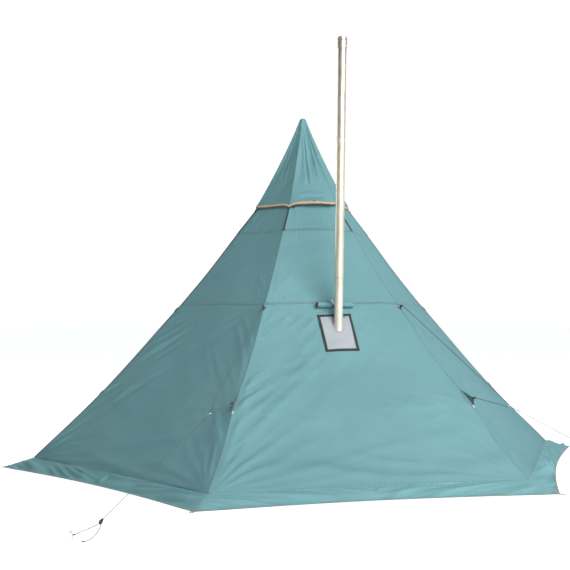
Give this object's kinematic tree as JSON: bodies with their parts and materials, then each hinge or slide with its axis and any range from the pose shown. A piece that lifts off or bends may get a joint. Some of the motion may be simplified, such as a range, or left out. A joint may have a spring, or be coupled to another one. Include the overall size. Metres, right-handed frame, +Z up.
{
  "type": "teepee tent",
  "caption": "Six-sided one-pole tent with a vented peak hood, stove jack and flue pipe, zipped door at the back, ground skirt and front guylines.",
  "frame": {"origin": "on the ground under the centre pole, in the middle of the tent's base", "axes": "+Z up, -Y towards the panel with the stove jack, +Y towards the door, X from one skirt corner to the opposite one"},
  "size_m": [4.196, 4.1509, 2.7561],
  "materials": {
    "tent_cloth": "matte",
    "vent_mesh": "matte",
    "webbing": "matte",
    "jack_cloth": "matte",
    "pole_tube": "satin",
    "black_plastic": "satin",
    "flue_steel": "satin",
    "peg_metal": "satin",
    "cord": "matte"
  },
  "bodies": {
    "tent": {"pole_lower": "pole_tube", "pole_middle": "pole_tube", "pole_upper": "pole_tube", "pole_foot": "black_plastic", "pole_tip": "black_plastic", "upper_wall_front": "tent_cloth", "upper_wall_front_right": "tent_cloth", "upper_wall_back_right": "tent_cloth", "upper_wall_back": "tent_cloth", "upper_wall_back_left": "tent_cloth", "upper_wall_front_left": "tent_cloth", "lower_wall_front": "tent_cloth", "lower_wall_front_right": "tent_cloth", "lower_wall_back_right": "tent_cloth", "lower_wall_back_left": "tent_cloth", "lower_wall_front_left": "tent_cloth", "back_wall_left": "tent_cloth", "back_wall_right": "tent_cloth", "skirt_front": "tent_cloth", "skirt_front_right": "tent_cloth", "skirt_back_right": "tent_cloth", "skirt_back": "tent_cloth", "skirt_back_left": "tent_cloth", "skirt_front_left": "tent_cloth", "peak_hood": "tent_cloth", "vent_cone": "vent_mesh", "stove_jack": "jack_cloth", "jack_flap": "tent_cloth", "ridge_strap_1": "webbing", "ridge_strap_2": "webbing", "ridge_strap_3": "webbing", "ridge_strap_4": "webbing", "ridge_strap_5": "webbing", "ridge_strap_6": "webbing", "bridle_cord_left": "cord", "guyline_left": "cord", "bridle_cord_right": "cord", "guyline_right": "cord", "cord_ring_left": "peg_metal", "guy_stake_left": "peg_metal", "cord_ring_right": "peg_metal", "guy_stake_right": "peg_metal"},
    "door_left": {"door_leaf_left": "tent_cloth"},
    "door_right": {"door_leaf_right": "tent_cloth"},
    "zip_slider": {"zip_slider": "black_plastic"},
    "vent_prop": {"vent_prop": "black_plastic"},
    "flue_pipe": {"pipe_bottom": "flue_steel", "pipe_lower": "flue_steel", "pipe_middle": "flue_steel", "pipe_upper": "flue_steel", "pipe_top": "flue_steel"},
    "spark_arrestor": {"spark_arrestor": "flue_steel"},
    "tensioner_left": {"tensioner_left": "black_plastic", "guyline_tail_left": "cord"},
    "tensioner_right": {"tensioner_right": "black_plastic", "guyline_tail_right": "cord"}
  },
  "joints": [
    {"name": "door_left_fold", "type": "hinge", "parent": "tent", "child": "door_left", "pos_m": [-0.8585, 1.60776, 0.05954], "axis": [0.554, -0.5356, 0.6373], "range_deg": [0, 150]},
    {"name": "door_right_fold", "type": "hinge", "parent": "tent", "child": "door_right", "pos_m": [0.8585, 1.60776, 0.05954], "axis": [0.554, 0.5356, -0.6373], "range_deg": [0, 150]},
    {"name": "zip_slide", "type": "slide", "parent": "door_left", "child": "zip_slider", "axis": [0, -0.6434, 0.7655], "range_m": [0, 1.16]},
    {"name": "vent_prop_fold", "type": "hinge", "parent": "tent", "child": "vent_prop", "pos_m": [0, -0.273, 1.776], "axis": [1, 0, 0], "range_deg": [0, 50]},
    {"name": "pipe_slide", "type": "slide", "parent": "tent", "child": "flue_pipe", "axis": [0.0192, 0, 0.9998], "range_m": [-0.1, 0.25]},
    {"name": "arrestor_lift", "type": "slide", "parent": "flue_pipe", "child": "spark_arrestor", "axis": [0.0192, 0, 0.9998], "range_m": [0, 0.06]},
    {"name": "tensioner_left_slide", "type": "slide", "parent": "tent", "child": "tensioner_left", "axis": [0.6042, 0.6871, 0.4035], "range_m": [0, 0.35]},
    {"name": "tensioner_right_slide", "type": "slide", "parent": "tent", "child": "tensioner_right", "axis": [-0.6042, 0.6871, 0.4035], "range_m": [0, 0.35]}
  ]
}
